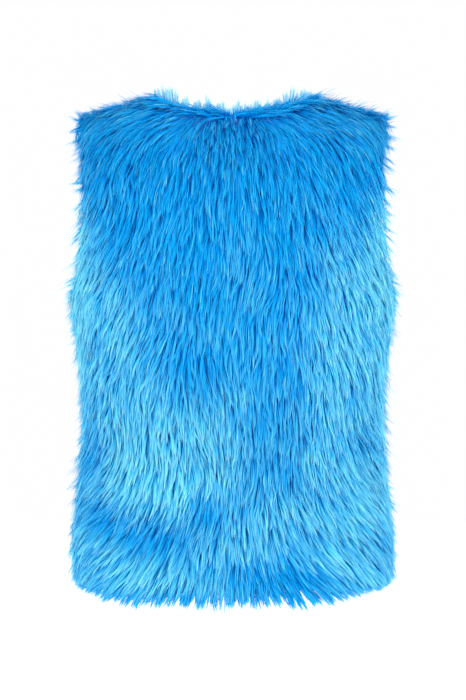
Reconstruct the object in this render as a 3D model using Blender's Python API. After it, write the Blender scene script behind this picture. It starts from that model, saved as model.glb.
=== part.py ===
"""Faux fur vest, filled out with nobody in it: one back and two fronts of thick pile cloth.

Metres, +Z up. The fronts face -Y and the wearer's left is +X. The origin is where the vest
hangs on the shoulders: on the centre plane, level with the two points where the shoulder seams
meet the neck. Neck, armholes, hem and centre front are open, and the inside is empty.
Each panel is one wall: knitted backing inside, long pile lying down its outer side.
"""

import math

import bpy
import numpy as np

# Driving sizes
HEM_Z = -0.613
UNDERARM_Z = -0.246
NECK_HALF_WIDTH = 0.098
SHOULDER_TIP_X = 0.193
SHOULDER_TIP_DROP = 0.026
BACK_NECK_DROP = 0.027
FRONT_NECK_DROP = 0.200
ARMHOLE_HALF_DEPTH = 0.056
ARMHOLE_WIDEST_Z = -0.140
SEAM_GAP = 0.0003
FRONT_OPENING = 0.016

# Over the shoulders the cloth turns in from this height as a quarter ellipse, and behind and
# before the neck it leans in more evenly
SHOULDER_TURN_Z = -0.130
SHOULDER_BEND = 0.5
NECK_LEAN = 0.45

# How round the necklines are: powers of the share of the way out to the neck point
BACK_NECK_POWER = 3
FRONT_NECK_POWER = 0.85

# The wall: backing and pile together, thinner where the pile rolls over a cut edge
WALL = 0.0145
EDGE_WALL = 0.0060

# Locks of pile: how far tips stand out, hollows sink in and tips trail along the pile, and the
# share of the grid's spacing by which each point strays
LOCK_RISE = 0.0020
LOCK_HOLLOW = 0.0038
LOCK_TRAIL = 0.0068
LOCK_STRAY = 0.30
LOCK_UNEVEN = 0.60
LOCK_SPREAD = 0.50
SEAM_SINK = 0.0010

# Locks past each cut edge: tip and hollow reach, and how unevenly the tips end
HEM_LOCK = (0.0165, 0.0045)
ARM_LOCK = (0.0060, 0.0010)
NECK_LOCK = (0.0095, 0.0015)
FRONT_LOCK = (0.0045, 0.0010)
EDGE_UNEVEN = 0.30

# Grid of one panel: columns from the centre to the neck point and on to the side, rows from
# the hem to the underarm and on to the top. The plain inner side has every second one. Rows
# follow the side edge's own spacing only close to it, by a power of the place across.
NECK_COLUMNS = 12
SIDE_COLUMNS = 12
LOWER_ROWS = 30
UPPER_ROWS = 18
INNER_STEP = 2
EDGE_PULL = 3
PATH_SAMPLES = 240
SETTLING_STEPS = 30

# Horizontal sections of the outer side: height, half width, depth behind and in front of the
# shoulder line
SECTIONS = (
    # z, half_width, back_depth, front_depth
    (-0.640, 0.1975, 0.1290, 0.1220),
    (-0.575, 0.2030, 0.1345, 0.1270),
    (-0.490, 0.1965, 0.1275, 0.1220),
    (-0.417, 0.1920, 0.1180, 0.1160),
    (-0.330, 0.1960, 0.1230, 0.1230),
    (-0.260, 0.2030, 0.1300, 0.1310),
    (-0.200, 0.2005, 0.1335, 0.1340),
    (-0.130, 0.1990, 0.1320, 0.1280),
    (-0.030, 0.2030, 0.1270, 0.1190),
    (0.0400, 0.2030, 0.1230, 0.1150),
)
SQUARENESS = 2.5

# Largest soft folds: a ridge or a trough along a straight line on one side of the vest
FOLDS = (
    # side, x, z, fold_length, fold_width, lean_deg, height
    ("back", 0.070, -0.448, 0.050, 0.040, 20, 0.0070),
    ("back", 0.152, -0.462, 0.055, 0.016, -18, -0.0070),
    ("back", 0.066, -0.524, 0.070, 0.017, 77, -0.0070),
    ("back", -0.118, -0.424, 0.050, 0.026, -10, 0.0055),
    ("back", -0.163, -0.450, 0.045, 0.014, 14, -0.0060),
    ("back", 0.033, -0.345, 0.045, 0.026, -28, -0.0045),
    ("back", -0.060, -0.365, 0.050, 0.020, 12, -0.0045),
    ("back", -0.080, -0.475, 0.035, 0.022, -30, -0.0040),
    ("back", -0.040, -0.590, 0.055, 0.014, 84, -0.0055),
    ("front", 0.120, -0.440, 0.055, 0.026, -16, 0.0060),
    ("front", 0.085, -0.500, 0.050, 0.016, 64, -0.0055),
    ("front", 0.158, -0.400, 0.050, 0.015, 14, -0.0055),
    ("front", -0.112, -0.420, 0.055, 0.028, 14, 0.0060),
    ("front", -0.160, -0.470, 0.050, 0.015, -12, -0.0060),
    ("front", -0.070, -0.510, 0.045, 0.017, -62, -0.0050),
)

TINY = 1e-9
FUR_BLUE = (0.020, 0.330, 0.780, 1.0)
FUR_ROUGHNESS = 0.75


def clear_scene():
    for item in list(bpy.data.objects):
        bpy.data.objects.remove(item, do_unlink=True)


def section_value(column, z):
    """A value of the section table at height z, on a smooth curve through its rows."""
    heights = np.array([row[0] for row in SECTIONS])
    values = np.array([row[column] for row in SECTIONS])
    slopes = np.gradient(values, heights)
    z = np.clip(z, heights[0], heights[-1])
    below = np.clip(np.searchsorted(heights, z, side="right") - 1, 0, len(heights) - 2)
    step = heights[below + 1] - heights[below]
    t = (z - heights[below]) / step
    return (
        (2 * t**3 - 3 * t**2 + 1) * values[below]
        + (t**3 - 2 * t**2 + t) * step * slopes[below]
        + (3 * t**2 - 2 * t**3) * values[below + 1]
        + (t**3 - t**2) * step * slopes[below + 1]
    )


def half_width(z):
    return section_value(1, z)


def depth(side, z):
    return section_value(2 if side == "back" else 3, z)


def shoulder_line(x):
    """Height of the shoulder seam's line, carried on over the neck."""
    slope = SHOULDER_TIP_DROP / (SHOULDER_TIP_X - NECK_HALF_WIDTH)
    return slope * (NECK_HALF_WIDTH - np.abs(x))


def outer_point(side, turn, z):
    """Point of the outer side at height z, at a turn from the centre towards the side seam."""
    width, reach = half_width(z), depth(side, z)
    across, along = np.abs(np.sin(turn)), np.abs(np.cos(turn))
    radius = ((across / width) ** SQUARENESS + (along / reach) ** SQUARENESS) ** (-1 / SQUARENESS)
    x = radius * np.sin(turn)
    top = shoulder_line(x)
    climb = np.clip((z - SHOULDER_TURN_Z) / (top - SHOULDER_TURN_Z), 0.0, 1.0)
    near_centre = np.clip(1.0 - (x / NECK_HALF_WIDTH) ** 2, 0.0, 1.0)
    bend = SHOULDER_BEND + NECK_LEAN * near_centre**2
    y = radius * along * (1.0 - climb**2) ** bend
    return np.stack([x, y if side == "back" else -y, z + 0.0 * x], axis=-1)


def turn_at_depth(side, y, z):
    """The turn at which the section at height z is y away from the shoulder plane."""
    share = np.clip(y / depth(side, z), 0.0, 1.0)
    x = half_width(z) * (1.0 - share**SQUARENESS) ** (1 / SQUARENESS)
    return np.arctan2(x, y)


def armhole_depth(z):
    """How far the armhole's edge lies from the shoulder plane at height z."""
    below = np.clip((ARMHOLE_WIDEST_Z - z) / (ARMHOLE_WIDEST_Z - UNDERARM_Z), 0.0, 1.0)
    return ARMHOLE_HALF_DEPTH * np.sqrt(1.0 - below**2)


def edge_turn(side, z):
    """The turn of the panel's side edge: the side seam, then the armhole above it."""
    return turn_at_depth(side, armhole_depth(z), z)


def centre_turn(side, z):
    """The turn of the panel's inner edge: nothing on the back, the opening on a front."""
    if side == "back":
        return 0.0 * z
    return np.arcsin(np.clip(FRONT_OPENING / 2 / depth(side, z), 0.0, 1.0))


def panel_point(side, across, z):
    """Point of a panel: across is 0 at its centre edge and 1, or -1, at its side edge."""
    first = centre_turn(side, z)
    turn = first + np.abs(across) * (edge_turn(side, z) - first)
    point = outer_point(side, turn, z)
    point[..., 0] *= np.where(np.asarray(across) < 0, -1.0, 1.0)
    return point


def neck_share(side):
    """The share of the panel's width, along its top, that is neck and not shoulder."""
    level = np.array(0.0)
    width, reach = half_width(level), depth(side, level)
    y = reach * (1.0 - (NECK_HALF_WIDTH / width) ** SQUARENESS) ** (1 / SQUARENESS)
    turn = math.atan2(NECK_HALF_WIDTH, y)
    first = float(centre_turn(side, level))
    return (turn - first) / (float(edge_turn(side, level)) - first)


def top_height(side, x):
    """Height of the panel's top edge: the neckline, then the shoulder seam."""
    share = min(abs(x) / NECK_HALF_WIDTH, 1.0)
    if share >= 1.0:
        return float(shoulder_line(x))
    if side == "back":
        return -BACK_NECK_DROP * (1.0 - share**BACK_NECK_POWER)
    return -FRONT_NECK_DROP * (1.0 - share) ** FRONT_NECK_POWER


def column_top(side, across):
    """Height of the top of one column of the panel, whose x depends a little on it."""
    z = 0.0
    for _ in range(SETTLING_STEPS):
        x = float(panel_point(side, np.array(across), np.array(z))[0])
        z = 0.5 * z + 0.5 * top_height(side, x)
    return z


def column_path(side, across):
    """Heights and distances along one column, from the hem up to the top edge."""
    top = column_top(side, across)
    low = np.linspace(HEM_Z, UNDERARM_Z, PATH_SAMPLES)
    swing = 0.5 - 0.5 * np.cos(np.linspace(0.0, math.pi, 2 * PATH_SAMPLES))
    high = UNDERARM_Z + (top - UNDERARM_Z) * swing
    z = np.concatenate([low, high[1:]])
    points = panel_point(side, np.full_like(z, across), z)
    steps = np.linalg.norm(np.diff(points, axis=0), axis=1)
    return z, np.concatenate([[0.0], np.cumsum(steps)])


def side_edge_shares(side):
    """Shares of the side edge's path at each row, with one row on the underarm."""
    z, path = column_path(side, 1.0)
    underarm = float(np.interp(UNDERARM_Z, z, path)) / path[-1]
    low = np.linspace(0.0, underarm, LOWER_ROWS + 1)
    high = np.linspace(underarm, 1.0, UPPER_ROWS + 1)
    return np.concatenate([low, high[1:]])


def panel_columns(side):
    """Places of the columns across a panel, all one way on a front and both on the back."""
    neck = neck_share(side)
    inner = np.linspace(0.0, neck, NECK_COLUMNS + 1)
    outer = np.linspace(neck, 1.0, SIDE_COLUMNS + 1)
    half = np.concatenate([inner, outer[1:]])
    if side == "back":
        return np.concatenate([-half[::-1], half[1:]])
    return half


def base_grid(side, columns):
    """Points of the smooth outer side, rows from hem to top."""
    rows = LOWER_ROWS + UPPER_ROWS + 1
    even = np.linspace(0.0, 1.0, rows)
    edge = side_edge_shares(side)
    grid = np.zeros((rows, len(columns), 3))
    for i, across in enumerate(columns):
        z, path = column_path(side, across)
        pull = abs(across) ** EDGE_PULL
        shares = even * (1.0 - pull) + edge * pull
        heights = np.interp(shares * path[-1], path, z)
        grid[:, i] = panel_point(side, np.full(rows, across), heights)
    return grid


def fold_rise(side, points):
    """Height of the largest folds over the smooth surface."""
    rise = np.zeros(points.shape[:-1])
    for fold_side, x, z, fold_length, fold_width, lean_deg, height in FOLDS:
        if fold_side != side:
            continue
        lean = math.radians(lean_deg)
        dx, dz = points[..., 0] - x, points[..., 2] - z
        along = (dx * math.sin(lean) + dz * math.cos(lean)) / fold_length
        across = (dx * math.cos(lean) - dz * math.sin(lean)) / fold_width
        rise += height * np.exp(-(across**2) - along**4)
    return rise


def grid_directions(grid, seam):
    """Outward normals, unit steps up and across, and the two spacings, at each grid point."""
    up = np.gradient(grid, axis=0)
    across = np.gradient(grid, axis=1)
    normal = np.cross(across, up)
    normal[seam, 1] = 0.0
    normal /= np.linalg.norm(normal, axis=-1, keepdims=True)
    low, middle = grid.shape[0] // 3, grid.shape[1] // 2
    if normal[low, middle, :2] @ grid[low, middle, :2] < 0:
        normal = -normal
    rise = np.linalg.norm(up, axis=-1, keepdims=True)
    run = np.linalg.norm(across, axis=-1, keepdims=True)
    return normal, up / rise, across / run, rise, run


def sway(row, column, phase):
    """A fixed uneven number between -1 and 1 for each lock."""
    turns = 43.7585 * np.sin(12.9898 * row + 78.233 * column + phase)
    return 2.0 * (turns - np.floor(turns)) - 1.0


def build_panel(name, side, hand):
    """One panel; hand is 1 for the back and the left front, -1 for the right front."""
    columns = panel_columns(side)
    grid = base_grid(side, columns) * np.array([hand, 1.0, 1.0])
    rows, count = grid.shape[:2]
    row, column = np.meshgrid(np.arange(rows), np.arange(count), indexing="ij")
    neck = neck_share(side)
    spread = np.abs(columns)[None, :] + 0.0 * row

    # Where each edge of the panel is a seam and where it is cut
    side_edge = spread > 1.0 - TINY
    side_seam = side_edge & (row <= LOWER_ROWS)
    armhole = side_edge & (row > LOWER_ROWS) & (row < rows - 1)
    shoulder = (row == rows - 1) & (spread > neck - TINY)
    seam = side_seam | shoulder
    hem = (row == 0) & ~side_edge
    neckline = (row == rows - 1) & ~shoulder
    centre_edge = (spread < TINY) & (side == "front")
    cut = hem | armhole | neckline | centre_edge

    normal, up, across, row_space, column_space = grid_directions(grid, seam)
    grid = grid + normal * fold_rise(side, grid)[..., None] * (~seam)[..., None]
    inner = grid - normal * WALL

    # Locks of pile over the outer side, trailing down and away from the centre
    tip = (row + column) % 2 == 0
    uneven = 1.0 + LOCK_UNEVEN * sway(row, column, 0.0)
    rise = np.where(tip, LOCK_RISE, -LOCK_HOLLOW) * uneven
    rise = np.where(seam, -SEAM_SINK, rise)
    rise = np.where(cut, (EDGE_WALL - WALL) / 2, rise)
    trail = np.where(tip, LOCK_TRAIL * (1.0 + LOCK_UNEVEN * sway(row, column, 1.7)), 0.0)
    trail = np.minimum(trail, LOCK_UNEVEN * row_space[..., 0])
    plain = seam | cut
    trail = np.where(plain, 0.0, trail)[..., None]
    stray = np.where(plain, 0.0, LOCK_STRAY)[..., None]
    away = across * np.where(columns < 0, -1.0, 1.0)[None, :, None]
    lean = np.clip(np.abs(grid[..., 0]) / half_width(grid[..., 2]), 0.0, 1.0)[..., None]
    outer = grid + normal * rise[..., None] + (LOCK_SPREAD * lean * away - up) * trail
    outer = outer + up * row_space * stray * sway(row, column, 2.9)[..., None]
    outer = outer + across * column_space * stray * sway(row, column, 4.1)[..., None]

    # Locks past the cut edges
    uneven = 1.0 + EDGE_UNEVEN * sway(row, column, 0.6)
    for edge, (long_reach, short_reach), way in (
        (hem, HEM_LOCK, LOCK_SPREAD * lean * away - up),
        (armhole, ARM_LOCK, away - LOCK_SPREAD * up),
        (neckline, NECK_LOCK, up),
        (centre_edge & ~hem, FRONT_LOCK, -away - LOCK_SPREAD * up),
    ):
        length = np.where(tip, long_reach * uneven, short_reach)
        outer = outer + np.where(edge, length, 0.0)[..., None] * way

    # Nothing crosses the seam plane
    guard = SEAM_GAP / 2
    for points in (outer, inner):
        if side == "back":
            points[..., 1] = np.maximum(points[..., 1], guard)
            points[seam, 1] = guard
        else:
            points[..., 1] = np.minimum(points[..., 1], -guard)
            points[seam, 1] = -guard

    return make_wall(name, outer, inner, tip)


def make_wall(name, outer, inner, tip):
    """One closed body between an outer grid and every second point of an inner grid."""
    rows, count = outer.shape[:2]
    inner = inner[::INNER_STEP, ::INNER_STEP]
    inner_rows, inner_count = inner.shape[:2]
    points = np.concatenate([outer.reshape(-1, 3), inner.reshape(-1, 3)])
    offset = rows * count
    faces = []
    for r in range(rows - 1):
        for c in range(count - 1):
            a, b = r * count + c, r * count + c + 1
            d, e = a + count, b + count
            if tip[r, c]:
                faces += [(a, b, d), (b, e, d)]
            else:
                faces += [(a, b, e), (a, e, d)]
    for r in range(inner_rows - 1):
        for c in range(inner_count - 1):
            a = offset + r * inner_count + c
            b, d, e = a + 1, a + inner_count, a + inner_count + 1
            faces += [(a, d, b), (b, d, e)]

    ring = [(0, c) for c in range(count)]
    ring += [(r, count - 1) for r in range(1, rows)]
    ring += [(rows - 1, c) for c in range(count - 2, -1, -1)]
    ring += [(r, 0) for r in range(rows - 2, 0, -1)]
    inside = [
        offset + (r // INNER_STEP) * inner_count + c // INNER_STEP
        for r, c in ring[::INNER_STEP]
    ]
    outside = [r * count + c for r, c in ring]
    for k in range(len(inside)):
        first = k * INNER_STEP
        near, far = inside[k], inside[(k + 1) % len(inside)]
        run = [outside[(first + s) % len(outside)] for s in range(INNER_STEP + 1)]
        for start, end in zip(run[:-1], run[1:]):
            faces.append((end, start, near))
        faces.append((run[-1], near, far))

    mesh = bpy.data.meshes.new(name)
    mesh.from_pydata(points.tolist(), [], faces)
    corners = points[np.array(faces)]
    volume = np.einsum("ij,ij->i", corners[:, 0], np.cross(corners[:, 1], corners[:, 2])).sum() / 6
    if volume < 0:
        mesh.flip_normals()
    mesh.update()
    item = bpy.data.objects.new(name, mesh)
    bpy.context.scene.collection.objects.link(item)
    return item


def fur_material(name):
    material = bpy.data.materials.new(name)
    material.use_nodes = True
    shader = material.node_tree.nodes["Principled BSDF"]
    shader.inputs["Base Color"].default_value = FUR_BLUE
    shader.inputs["Roughness"].default_value = FUR_ROUGHNESS
    shader.inputs["Metallic"].default_value = 0.0
    return material


def main():
    clear_scene()
    for name, side, hand in (
        ("back", "back", 1),
        ("front_left", "front", 1),
        ("front_right", "front", -1),
    ):
        panel = build_panel(name, side, hand)
        panel.data.materials.append(fur_material(name + "_fur"))


main()
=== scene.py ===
import math
from collections import namedtuple
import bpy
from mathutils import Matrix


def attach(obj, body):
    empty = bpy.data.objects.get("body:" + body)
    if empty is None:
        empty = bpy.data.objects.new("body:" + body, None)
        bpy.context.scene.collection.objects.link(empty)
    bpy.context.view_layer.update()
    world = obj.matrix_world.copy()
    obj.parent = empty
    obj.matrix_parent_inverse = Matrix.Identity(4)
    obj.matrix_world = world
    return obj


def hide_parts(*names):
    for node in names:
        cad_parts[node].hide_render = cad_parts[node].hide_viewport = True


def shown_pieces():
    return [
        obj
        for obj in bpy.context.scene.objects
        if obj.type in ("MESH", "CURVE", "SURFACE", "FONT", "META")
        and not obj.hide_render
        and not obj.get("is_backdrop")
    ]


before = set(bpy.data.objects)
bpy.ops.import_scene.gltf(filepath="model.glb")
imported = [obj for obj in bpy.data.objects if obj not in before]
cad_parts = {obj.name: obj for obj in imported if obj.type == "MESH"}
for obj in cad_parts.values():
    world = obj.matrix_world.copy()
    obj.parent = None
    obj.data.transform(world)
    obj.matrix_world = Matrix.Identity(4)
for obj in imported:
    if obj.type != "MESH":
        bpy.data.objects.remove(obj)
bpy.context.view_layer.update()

from types import SimpleNamespace as Named

import bpy
import numpy as np
from mathutils import Vector

# The vest's own sizes, in metres, as its panels are cut
HEM_Z = -0.613
UNDERARM_Z = -0.246
NECK_HALF_WIDTH = 0.098
SHOULDER_TIP_X = 0.193
SHOULDER_TIP_DROP = 0.026
SHOULDER_SLOPE = SHOULDER_TIP_DROP / (SHOULDER_TIP_X - NECK_HALF_WIDTH)
BACK_NECK_DROP = 0.027
FRONT_NECK_DROP = 0.200
ARMHOLE_HALF_DEPTH = 0.056
ARMHOLE_WIDEST_Z = -0.140
SEAM_GAP = 0.0003
FRONT_OPENING = 0.016
SHOULDER_TURN_Z = -0.130
SHOULDER_BEND = 0.5
NECK_LEAN = 0.45
BACK_NECK_POWER = 3
FRONT_NECK_POWER = 0.85
WALL = 0.0145
BACKING = 0.0015
PILE = WALL - BACKING
SECTIONS = (
    # z, half_width, back_depth, front_depth
    (-0.640, 0.1975, 0.1290, 0.1220),
    (-0.575, 0.2030, 0.1345, 0.1270),
    (-0.490, 0.1965, 0.1275, 0.1220),
    (-0.417, 0.1920, 0.1180, 0.1160),
    (-0.330, 0.1960, 0.1230, 0.1230),
    (-0.260, 0.2030, 0.1300, 0.1310),
    (-0.200, 0.2005, 0.1335, 0.1340),
    (-0.130, 0.1990, 0.1320, 0.1280),
    (-0.030, 0.2030, 0.1270, 0.1190),
    (0.0400, 0.2030, 0.1230, 0.1150),
)
SQUARENESS = 2.5
FOLDS = {
    # x, z, fold_width, fold_length, lean_deg, height
    "back": (
        (0.070, -0.448, 0.040, 0.050, 20, 0.0070),
        (0.152, -0.462, 0.016, 0.055, -18, -0.0070),
        (0.066, -0.524, 0.017, 0.070, 77, -0.0070),
        (-0.118, -0.424, 0.026, 0.050, -10, 0.0055),
        (-0.163, -0.450, 0.014, 0.045, 14, -0.0060),
        (0.033, -0.345, 0.026, 0.045, -28, -0.0045),
        (-0.060, -0.365, 0.020, 0.050, 12, -0.0045),
        (-0.080, -0.475, 0.022, 0.035, -30, -0.0040),
        (-0.040, -0.590, 0.014, 0.055, 84, -0.0055),
    ),
    "front": (
        (0.120, -0.440, 0.026, 0.055, -16, 0.0060),
        (0.085, -0.500, 0.016, 0.050, 64, -0.0055),
        (0.158, -0.400, 0.015, 0.050, 14, -0.0055),
        (-0.112, -0.420, 0.028, 0.055, 14, 0.0060),
        (-0.160, -0.470, 0.015, 0.050, -12, -0.0060),
        (-0.070, -0.510, 0.017, 0.045, -62, -0.0050),
    ),
}

# Fine grid of each panel
NECK_COLUMNS = 30
SIDE_COLUMNS = 32
LOWER_ROWS = 84
UPPER_ROWS = 52
SETTLING_STEPS = 30
TOP_ROWS = 14
EDGE_SAMPLES = 2000
SHOULDER_SAMPLES = 4000
EDGE_JITTER = 0.3
SIDE_START_ROW = 3
UNDERARM_ROWS = (LOWER_ROWS - 14, LOWER_ROWS + 3)
SHELL_STEP = 2
SHARP_DEG = 50

# How the pile lies: degrees that it leans outward from straight down at the vest's side, the
# share of the half width in which most of that lean is reached, and how late it sets in
LEANS = (
    # z, lean_deg, reach, power
    (-0.640, 52, 1.40, 1.0),
    (-0.560, 50, 1.40, 1.1),
    (-0.510, 42, 1.40, 1.6),
    (-0.440, 31, 1.40, 2.8),
    (-0.330, 18, 1.40, 2.0),
    (-0.250, 26, 1.20, 1.3),
    (-0.180, 22, 1.00, 1.0),
    (-0.120, 16, 0.80, 1.0),
    (-0.085, 28, 0.50, 1.0),
    (-0.055, 64, 0.34, 1.6),
    (-0.015, 86, 0.30, 2.4),
)
# Share of that lean that is left at the side seams, and how deep from them it comes back
SEAM_LEAN = 0.25
SEAM_DEPTH = 0.075
# Places where the pile is brushed another way: towards +X by so many degrees
BRUSHED = (
    # x, z, radius, turn_deg
    (-0.040, -0.260, 0.040, 22),
    (0.085, -0.330, 0.035, 16),
    (0.015, -0.365, 0.030, -12),
    (-0.095, -0.585, 0.035, -18),
    (0.050, -0.440, 0.030, -10),
    (-0.020, -0.500, 0.035, 10),
    (0.125, -0.420, 0.055, -20),
    (-0.125, -0.400, 0.050, 12),
    (0.120, -0.140, 0.045, -10),
)
# Soft unevenness: the waves that make it, and those that turn and tint the pile
SWIRL_WAVES = (
    # z, x, y, phase
    (1.3, 1.0, 0.0, 1.0),
    (1.7, -0.6, 0.8, 2.1),
    (0.5, -1.1, 1.4, 3.7),
)
LEAN_SWIRL_DEG = 6.0
LEAN_SWIRLS = (
    # size, phase
    (0.17, 0.4),
    (0.075, 1.9),
    (0.034, 5.1),
)
PALE_SWIRL = 0.10
PALE_SWIRLS = (
    # size, phase
    (0.11, 2.6),
    (0.043, 0.9),
)

# Painted sheen and shade: the pile painted pale as if lit and deep as if shaded, by height and in
# soft patches
SHEEN_BY_HEIGHT = (
    # z, paleness
    (-0.640, 0.50),
    (-0.600, 0.64),
    (-0.565, 0.76),
    (-0.420, 0.72),
    (-0.360, 0.58),
    (-0.290, 0.50),
    (-0.245, 0.30),
    (-0.190, 0.11),
    (-0.060, 0.02),
    (0.000, 0.12),
)
SHEEN = {
    # x, z, half_width, half_height, lean_deg, amount: painted sheen above 0, painted shade below 0
    "back": (
        (0.190, -0.205, 0.022, 0.120, 0, 0.85),
        (-0.188, -0.220, 0.024, 0.130, 0, 0.85),
        (0.172, -0.170, 0.016, 0.055, 0, 0.25),
        (-0.168, -0.165, 0.018, 0.055, 0, 0.35),
        (0.155, -0.235, 0.035, 0.060, 0, 0.34),
        (-0.135, -0.205, 0.032, 0.055, 20, 0.34),
        (-0.120, -0.230, 0.050, 0.055, 0, 0.14),
        (-0.122, -0.280, 0.030, 0.050, 0, 0.18),
        (0.120, -0.280, 0.024, 0.045, 0, 0.14),
        (0.170, -0.284, 0.020, 0.032, 0, -0.28),
        (0.098, -0.282, 0.018, 0.022, 0, -0.16),
        (0.038, -0.232, 0.028, 0.022, 0, -0.20),
        (-0.066, -0.305, 0.026, 0.036, 0, -0.20),
        (0.010, -0.310, 0.075, 0.070, 0, -0.26),
        (0.050, -0.318, 0.028, 0.026, 0, -0.30),
        (-0.066, -0.380, 0.035, 0.045, 0, -0.20),
        (-0.150, -0.412, 0.026, 0.035, 0, -0.24),
        (-0.085, -0.450, 0.045, 0.110, 0, -0.12),
        (0.172, -0.410, 0.016, 0.045, 0, -0.20),
        (0.145, -0.492, 0.020, 0.022, 30, -0.28),
        (-0.050, -0.250, 0.030, 0.035, 0, -0.10),
        (0.000, -0.205, 0.040, 0.030, 0, 0.14),
        (-0.030, -0.425, 0.026, 0.062, 0, -0.36),
        (-0.066, -0.455, 0.018, 0.030, 10, -0.32),
        (0.100, -0.430, 0.062, 0.060, 0, 0.16),
        (-0.112, -0.360, 0.030, 0.070, 0, 0.10),
        (0.168, -0.455, 0.014, 0.050, -14, -0.42),
        (0.100, -0.527, 0.021, 0.080, 80, -0.74),
        (-0.086, -0.532, 0.024, 0.016, 0, -0.30),
        (-0.012, -0.488, 0.026, 0.026, 0, -0.20),
        (0.030, -0.497, 0.026, 0.022, 0, -0.56),
        (-0.050, -0.579, 0.016, 0.066, 84, -0.90),
        (-0.062, -0.567, 0.018, 0.026, 0, -0.36),
        (0.166, -0.572, 0.022, 0.024, 0, -0.34),
        (-0.186, -0.292, 0.014, 0.034, 0, -0.60),
        (-0.178, -0.552, 0.018, 0.036, 0, -0.34),
    ),
    "front": (
        (0.190, -0.215, 0.022, 0.120, 0, 0.70),
        (-0.190, -0.215, 0.022, 0.120, 0, 0.70),
        (0.060, -0.330, 0.050, 0.070, 8, -0.28),
        (-0.075, -0.300, 0.050, 0.060, -12, -0.24),
        (0.085, -0.505, 0.020, 0.060, 66, -0.42),
        (-0.075, -0.512, 0.020, 0.055, -62, -0.40),
        (-0.130, -0.400, 0.040, 0.080, 0, 0.18),
        (0.130, -0.425, 0.040, 0.080, 0, 0.18),
    ),
}

# A lock's path over the surface: over the shoulder's roll its up turns ahead
LOCK_RADIUS = 0.0029
LOCK_LENGTH = 0.037
LOCK_POINTS = 8
ROLL_HEIGHT = 0.10
ROLL_AHEAD = 1.3
CURL_START = 0.3
STEP_SLACK = 1.4
LEAST_LENGTH = 0.009
LEAST_START = 0.003
SPIKE_STRANDS = 12

# The locks all over each side
SIDES = {
    "back": Named(space=0.0050, tries=62000, strands=10, underarm_lift=1.0),
    "front": Named(space=0.0052, tries=30000, strands=8, underarm_lift=0.75),
}
ALL_OVER = Named(
    # Mean, spread, least and most
    length=(1.0, 0.18, 0.55, 1.5),
    lift=(0.92, 0.12, 0.55, 1.20),
    radius=(0.75, 1.30),
    past=(0.009, 0.019),
    # Higher towards the outline's rim, by half the vest's width
    rim_x=0.178,
    rim_span=0.012,
    rim_higher=0.30,
    # Shorter past the hem's corners, and past and beside the neck's edge
    corner_less=0.95,
    corner_z=-0.50,
    neck_z=-0.075,
    neck_past=(0.0, 0.003),
    dip_lower=0.66,
)
CORNER_STARTS = (0.105, 0.130)
CORNER_SPAN = 0.060
DIP_OUT = 0.55
DIP_SPAN = 0.30

# The locks along edges. Each range is drawn from evenly, in metres or degrees, but lift is in
# shares of the pile's height, radius in shares of LOCK_RADIUS, and up in rows.
# A kind's pale is added to the painted sheen of its locks
Kind = namedtuple(
    "Kind",
    "space turn_deg curl_deg length lift past radius lean up strands pale base bow",
    defaults=(0, None, 0.0, 0.0, 2.2),
)
KINDS = {
    # space, turn_deg, curl_deg, length, lift, past, radius, lean
    "all_over": Kind(None, 4.5, 10, None, None, None, None, None),
    "hem": Kind(0.0018, 5, 14, (0.8, 1.1), (0.25, 0.95), (0.85, 1.08), (0.5, 0.8), None, up=1.5),
    "arm": Kind(0.0032, 10, 20, (0.014, 0.026), (0.3, 1.0), (0.004, 0.010), (0.5, 0.8), (25, 62)),
    "arm_spikes": Kind(
        0.0105, 0, 16, (0.024, 0.036), (1.15, 1.75), (0.8, 1.2), (1.0, 1.4), (-14, 14),
        up=-1.5, strands=SPIKE_STRANDS, base=0.25, bow=1.2,
    ),
    "back_neck": Kind(
        0.0026, 14, 30, (0.007, 0.012), (0.25, 0.62), (0.0, 0.001), (0.7, 1.0), (-1, 1),
        pale=0.06, base=0.12,
    ),
    "front_neck": Kind(
        0.0018, 10, 20, (0.014, 0.026), (0.35, 0.95), (0.003, 0.007), (0.6, 0.9), (-62, -8),
    ),
    "shoulder": Kind(
        0.0020, 8, 16, (0.022, 0.038), (0.70, 1.25), (0.004, 0.009), (0.8, 1.1), (84, 108),
        base=0.22,
    ),
    "shoulder_spikes": Kind(
        0.0080, 0, 16, (0.018, 0.028), (1.10, 1.70), (0.005, 0.010), (1.0, 1.3), (74, 120),
        up=-4.0, strands=SPIKE_STRANDS, base=0.22, bow=1.2,
    ),
    "underarm": Kind(
        0.0032, 12, 26, (0.012, 0.022), (1.05, 1.95), (0.003, 0.006), (0.6, 0.9), (-20, 40),
        pale=0.1, base=0.10, bow=1.5,
    ),
    "side_spikes": Kind(
        0.0130, 0, 14, (0.022, 0.034), (1.10, 1.70), (0.003, 0.006), (1.0, 1.4), (-22, 26),
        strands=SPIKE_STRANDS, base=0.25, bow=1.2,
    ),
    "front_edge": Kind(
        0.0026, 10, 20, (0.018, 0.032), (0.3, 0.9), (0.005, 0.009), (0.5, 0.8), (-44, -14),
    ),
}
HEM_TUFTS = Named(
    widths=(0.010, 0.019),
    heights=(0.020, 0.028),
    fan=0.75,
    jitter=0.0015,
    corner_less=0.90,
    inside=0.006,
)
ARM_SPIKE_LEANS = (
    # z, lean_deg
    (-0.180, 24.0),
    (-0.100, 38.0),
    (-0.030, 84.0),
)
ARM_SPIKE_PASTS = (
    # z, past
    (-0.100, 0.008),
    (-0.045, 0.018),
)
BACK_NECK = Named(
    below=(0.0, 0.0070),
    middle_power=3,
    dip_lower=0.78,
    middle_past=0.0056,
    lean_deg=180.0,
    less_out=36.0,
    uneven_deg=16,
    middle_uneven_deg=30,
)
FRONT_NECK = Named(below=(0.0, 0.007), below_share=0.5, turn_below=5000.0)
SHOULDER = Named(down_power=1.2, rows=5.0, lower=0.25, turn_deg=30)

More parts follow.
